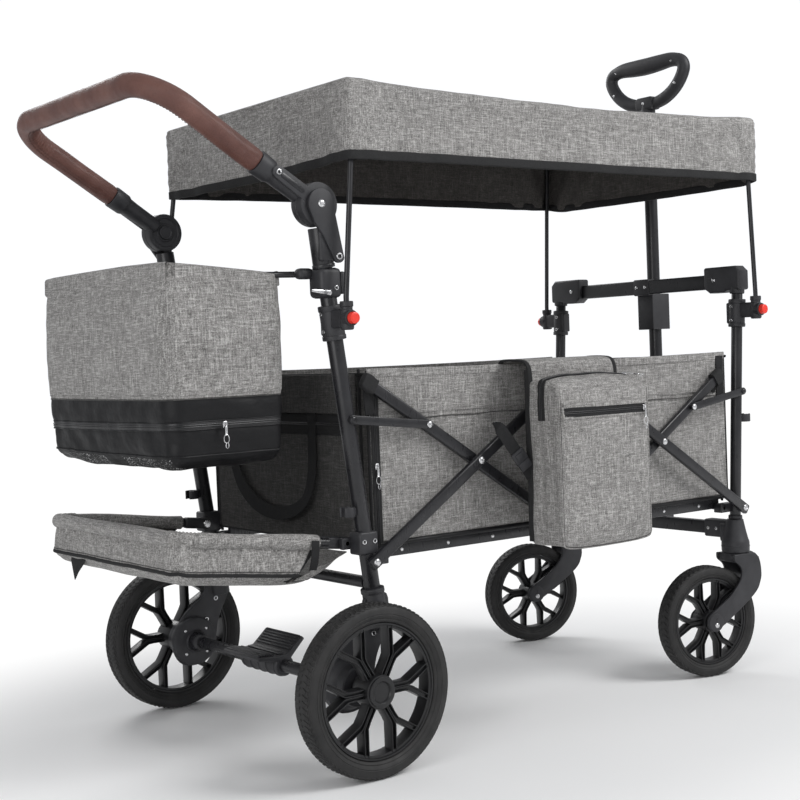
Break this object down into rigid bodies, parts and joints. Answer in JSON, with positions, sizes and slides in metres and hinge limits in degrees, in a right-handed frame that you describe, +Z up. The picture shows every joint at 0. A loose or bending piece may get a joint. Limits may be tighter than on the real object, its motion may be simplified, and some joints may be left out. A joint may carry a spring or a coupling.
{
  "type": "folding wagon",
  "caption": "Folding canopy wagon with a scissor-linked steel frame, cloth basket, push and pull handles, swivel front wheels, rear bag, footrest tray and brake.",
  "frame": {"origin": "on the ground, under the middle of the whole wagon's box", "axes": "+X to the front, where the pull handle is; +Y to the wagon's left; +Z up"},
  "size_m": [1.3746, 0.749, 1.2884],
  "materials": {
    "black_paint": "satin black powder coat",
    "black_plastic": "fine matte texture",
    "tyre_rubber": "matte, treaded",
    "grey_cloth": "heathered coarse weave",
    "brown_leather": "smooth, stitched",
    "red_plastic": "smooth",
    "grey_board": "cloth-covered board"
  },
  "bodies": {
    "rear_frame": {"rear_post_right": "black_paint", "rear_post_left": "black_paint", "rear_cross_tube": "black_paint", "axle_bracket_right": "black_plastic", "axle_bracket_left": "black_plastic", "bag_hoop": "black_paint", "rear_bag": "grey_cloth", "canopy_socket_rear_right": "black_plastic", "canopy_socket_rear_left": "black_plastic", "basket_rear_panel": "grey_cloth", "basket": "grey_cloth"},
    "front_frame": {"front_post_right": "black_paint", "front_post_left": "black_paint", "front_top_bar": "black_paint", "front_lower_beam": "black_paint", "canopy_socket_front_right": "black_plastic", "canopy_socket_front_left": "black_plastic", "basket_front_panel": "grey_cloth"},
    "push_handle": {"push_handle_tube": "black_paint", "push_handle_grip": "brown_leather"},
    "brake": {"brake_bar": "black_paint", "brake_pedal": "black_plastic"},
    "floor_rear_half": {"floor_rear": "grey_board"},
    "floor_front_half": {"floor_front": "grey_board"},
    "tray": {"tray_frame": "black_paint", "tray_cloth": "grey_cloth"},
    "canopy_rear": {"canopy_hoop_rear": "black_paint", "canopy_roof": "grey_cloth"},
    "canopy_front": {"canopy_hoop_front": "black_paint"},
    "pull_shaft": {"pull_tube": "black_paint"},
    "pull_slide": {"pull_grip": "black_plastic"},
    "side_pouch": {"side_bag": "grey_cloth"},
    "bars_rear_low_right": {"rear_lower_bar_right": "black_paint"},
    "bars_front_low_right": {"front_lower_bar_right": "black_paint"},
    "bars_rear_up_right": {"rear_upper_bar_right": "black_paint"},
    "bars_front_up_right": {"front_upper_bar_right": "black_paint"},
    "link_rear_right": {"rear_link_right": "black_paint"},
    "link_front_right": {"front_link_right": "black_paint"},
    "wheel_rear_right": {"rear_right_rim": "black_plastic", "rear_right_tyre": "tyre_rubber"},
    "caster_right": {"fork_right": "black_plastic"},
    "wheel_front_right": {"front_right_rim": "black_plastic", "front_right_tyre": "tyre_rubber"},
    "joint_button_right": {"handle_button_right": "black_plastic"},
    "release_rear_right": {"canopy_button_rear_right": "red_plastic"},
    "release_front_right": {"canopy_button_front_right": "red_plastic"},
    "bars_rear_low_left": {"rear_lower_bar_left": "black_paint"},
    "bars_front_low_left": {"front_lower_bar_left": "black_paint"},
    "bars_rear_up_left": {"rear_upper_bar_left": "black_paint"},
    "bars_front_up_left": {"front_upper_bar_left": "black_paint"},
    "link_rear_left": {"rear_link_left": "black_paint"},
    "link_front_left": {"front_link_left": "black_paint"},
    "wheel_rear_left": {"rear_left_rim": "black_plastic", "rear_left_tyre": "tyre_rubber"},
    "caster_left": {"fork_left": "black_plastic"},
    "wheel_front_left": {"front_left_rim": "black_plastic", "front_left_tyre": "tyre_rubber"},
    "joint_button_left": {"handle_button_left": "black_plastic"},
    "release_rear_left": {"canopy_button_rear_left": "red_plastic"},
    "release_front_left": {"canopy_button_front_left": "red_plastic"}
  },
  "joints": [
    {"name": "fold", "type": "hinge", "parent": "rear_frame", "child": "bars_rear_low_right", "pos_m": [-0.30936, 0.0225, 0.333], "axis": [0, -1, 0], "range_deg": [0, 41], "deforming": ["basket", "canopy_roof"]},
    {"name": "fold_top_right", "type": "hinge", "parent": "bars_rear_low_right", "child": "bars_front_low_right", "pos_m": [0.1512, 0.0225, 0.63095], "axis": [0, -1, 0], "range_deg": [-82.5, 0.5]},
    {"name": "fold_front", "type": "hinge", "parent": "bars_front_low_right", "child": "front_frame", "pos_m": [0.61175, 0.0225, 0.333], "axis": [0, -1, 0], "range_deg": [-0.5, 41.5]},
    {"name": "fold_rear_up_right", "type": "hinge", "parent": "bars_rear_low_right", "child": "bars_rear_up_right", "pos_m": [-0.07908, 0.0225, 0.48197], "axis": [0, -1, 0], "range_deg": [-82.5, 0.5]},
    {"name": "fold_front_up_right", "type": "hinge", "parent": "bars_front_low_right", "child": "bars_front_up_right", "pos_m": [0.38147, 0.0225, 0.48197], "axis": [0, -1, 0], "range_deg": [-0.5, 82.5]},
    {"name": "fold_rear_low_left", "type": "hinge", "parent": "rear_frame", "child": "bars_rear_low_left", "pos_m": [-0.30936, 0.0225, 0.333], "axis": [0, -1, 0], "range_deg": [-0.5, 41.5]},
    {"name": "fold_top_left", "type": "hinge", "parent": "bars_rear_low_left", "child": "bars_front_low_left", "pos_m": [0.1512, 0.0225, 0.63095], "axis": [0, -1, 0], "range_deg": [-82.5, 0.5]},
    {"name": "fold_rear_up_left", "type": "hinge", "parent": "bars_rear_low_left", "child": "bars_rear_up_left", "pos_m": [-0.07908, 0.0225, 0.48197], "axis": [0, -1, 0], "range_deg": [-82.5, 0.5]},
    {"name": "fold_front_up_left", "type": "hinge", "parent": "bars_front_low_left", "child": "bars_front_up_left", "pos_m": [0.38147, 0.0225, 0.48197], "axis": [0, -1, 0], "range_deg": [-0.5, 82.5]},
    {"name": "link_rear_swing_right", "type": "hinge", "parent": "rear_frame", "child": "link_rear_right", "pos_m": [-0.34058, 0.0225, 0.567], "axis": [0, -1, 0], "range_deg": [-0.5, 70.69]},
    {"name": "link_front_swing_right", "type": "hinge", "parent": "front_frame", "child": "link_front_right", "pos_m": [0.62565, 0.0225, 0.567], "axis": [0, -1, 0], "range_deg": [-76.88, 0.5]},
    {"name": "wheel_rear_spin_right", "type": "hinge", "parent": "rear_frame", "child": "wheel_rear_right", "pos_m": [-0.35975, -0.3055, 0.14], "axis": [0, 1, 0], "continuous": true},
    {"name": "caster_swivel_right", "type": "hinge", "parent": "front_frame", "child": "caster_right", "pos_m": [0.60825, -0.2345, 0], "axis": [0, 0, 1], "continuous": true},
    {"name": "wheel_front_spin_right", "type": "hinge", "parent": "caster_right", "child": "wheel_front_right", "pos_m": [0.53168, -0.21962, 0.111], "axis": [0.1908, 0.9816, 0], "continuous": true},
    {"name": "joint_button_press_right", "type": "slide", "parent": "push_handle", "child": "joint_button_right", "axis": [0, -1, 0], "range_m": [0, 0.004], "stiffness_N_per_m": 900},
    {"name": "release_press_rear_right", "type": "slide", "parent": "rear_frame", "child": "release_rear_right", "axis": [0, 1, 0], "range_m": [0, 0.003], "stiffness_N_per_m": 700},
    {"name": "release_press_front_right", "type": "slide", "parent": "front_frame", "child": "release_front_right", "axis": [0, 1, 0], "range_m": [0, 0.003], "stiffness_N_per_m": 700},
    {"name": "link_rear_swing_left", "type": "hinge", "parent": "rear_frame", "child": "link_rear_left", "pos_m": [-0.34058, 0.0225, 0.567], "axis": [0, -1, 0], "range_deg": [-0.5, 70.69]},
    {"name": "link_front_swing_left", "type": "hinge", "parent": "front_frame", "child": "link_front_left", "pos_m": [0.62565, 0.0225, 0.567], "axis": [0, -1, 0], "range_deg": [-76.88, 0.5]},
    {"name": "wheel_rear_spin_left", "type": "hinge", "parent": "rear_frame", "child": "wheel_rear_left", "pos_m": [-0.35975, 0.3505, 0.14], "axis": [0, 1, 0], "continuous": true},
    {"name": "caster_swivel_left", "type": "hinge", "parent": "front_frame", "child": "caster_left", "pos_m": [0.60825, 0.2795, 0], "axis": [0, 0, 1], "continuous": true},
    {"name": "wheel_front_spin_left", "type": "hinge", "parent": "caster_left", "child": "wheel_front_left", "pos_m": [0.53366, 0.30231, 0.111], "axis": [0.2924, 0.9563, 0], "continuous": true},
    {"name": "joint_button_press_left", "type": "slide", "parent": "push_handle", "child": "joint_button_left", "axis": [0, 1, 0], "range_m": [0, 0.004], "stiffness_N_per_m": 900},
    {"name": "release_press_rear_left", "type": "slide", "parent": "rear_frame", "child": "release_rear_left", "axis": [0, -1, 0], "range_m": [0, 0.003], "stiffness_N_per_m": 700},
    {"name": "release_press_front_left", "type": "slide", "parent": "front_frame", "child": "release_front_left", "axis": [0, -1, 0], "range_m": [0, 0.003], "stiffness_N_per_m": 700},
    {"name": "floor_rear_rise", "type": "hinge", "parent": "rear_frame", "child": "floor_rear_half", "pos_m": [-0.27536, 0.0225, 0.333], "axis": [0, -1, 0], "range_deg": [-0.5, 90.5]},
    {"name": "floor_front_rise", "type": "hinge", "parent": "front_frame", "child": "floor_front_half", "pos_m": [0.57775, 0.0225, 0.333], "axis": [0, -1, 0], "range_deg": [-90.5, 0.5]},
    {"name": "side_pouch_level", "type": "hinge", "parent": "bars_rear_low_right", "child": "side_pouch", "pos_m": [0.1512, 0.0225, 0.63095], "axis": [0, -1, 0], "range_deg": [-41.5, 0.5]},
    {"name": "push_handle_angle", "type": "hinge", "parent": "rear_frame", "child": "push_handle", "pos_m": [-0.38675, 0.0225, 0.913], "axis": [0, 1, 0], "range_deg": [-40, 45]},
    {"name": "brake_rock", "type": "hinge", "parent": "rear_frame", "child": "brake", "pos_m": [-0.35975, 0.0225, 0.14], "axis": [0, 1, 0], "range_deg": [0, 25]},
    {"name": "tray_tilt", "type": "hinge", "parent": "rear_frame", "child": "tray", "pos_m": [-0.3405, 0.0225, 0.364], "axis": [0, 1, 0], "range_deg": [0, 15]},
    {"name": "canopy_lift", "type": "slide", "parent": "rear_frame", "child": "canopy_rear", "axis": [0, 0, 1], "range_m": [0, 0.03]},
    {"name": "canopy_lift_front", "type": "slide", "parent": "front_frame", "child": "canopy_front", "axis": [0, 0, 1], "range_m": [-0.0005, 0.0305]},
    {"name": "pull_swing", "type": "hinge", "parent": "front_frame", "child": "pull_shaft", "pos_m": [0.67225, 0.0225, 0.3], "axis": [0, 1, 0], "range_deg": [0, 80]},
    {"name": "pull_extend", "type": "slide", "parent": "pull_shaft", "child": "pull_slide", "axis": [0, 0, 1], "range_m": [0, 0.25]}
  ],
  "couplings": [
    {"joint": "fold_top_right", "follows": "fold", "ratio": -2},
    {"joint": "fold_front", "follows": "fold", "ratio": 1},
    {"joint": "fold_rear_up_right", "follows": "fold", "ratio": -2},
    {"joint": "fold_front_up_right", "follows": "fold", "ratio": 2},
    {"joint": "fold_rear_low_left", "follows": "fold", "ratio": 1},
    {"joint": "fold_top_left", "follows": "fold", "ratio": -2},
    {"joint": "fold_rear_up_left", "follows": "fold", "ratio": -2},
    {"joint": "fold_front_up_left", "follows": "fold", "ratio": 2},
    {"joint": "link_rear_swing_right", "follows": "fold", "ratio": 1.712},
    {"joint": "link_front_swing_right", "follows": "fold", "ratio": -1.863},
    {"joint": "link_rear_swing_left", "follows": "fold", "ratio": 1.712},
    {"joint": "link_front_swing_left", "follows": "fold", "ratio": -1.863},
    {"joint": "floor_rear_rise", "follows": "fold", "ratio": 2.195},
    {"joint": "floor_front_rise", "follows": "fold", "ratio": -2.195},
    {"joint": "side_pouch_level", "follows": "fold", "ratio": -1},
    {"joint": "canopy_lift_front", "follows": "canopy_lift", "ratio": 1}
  ]
}
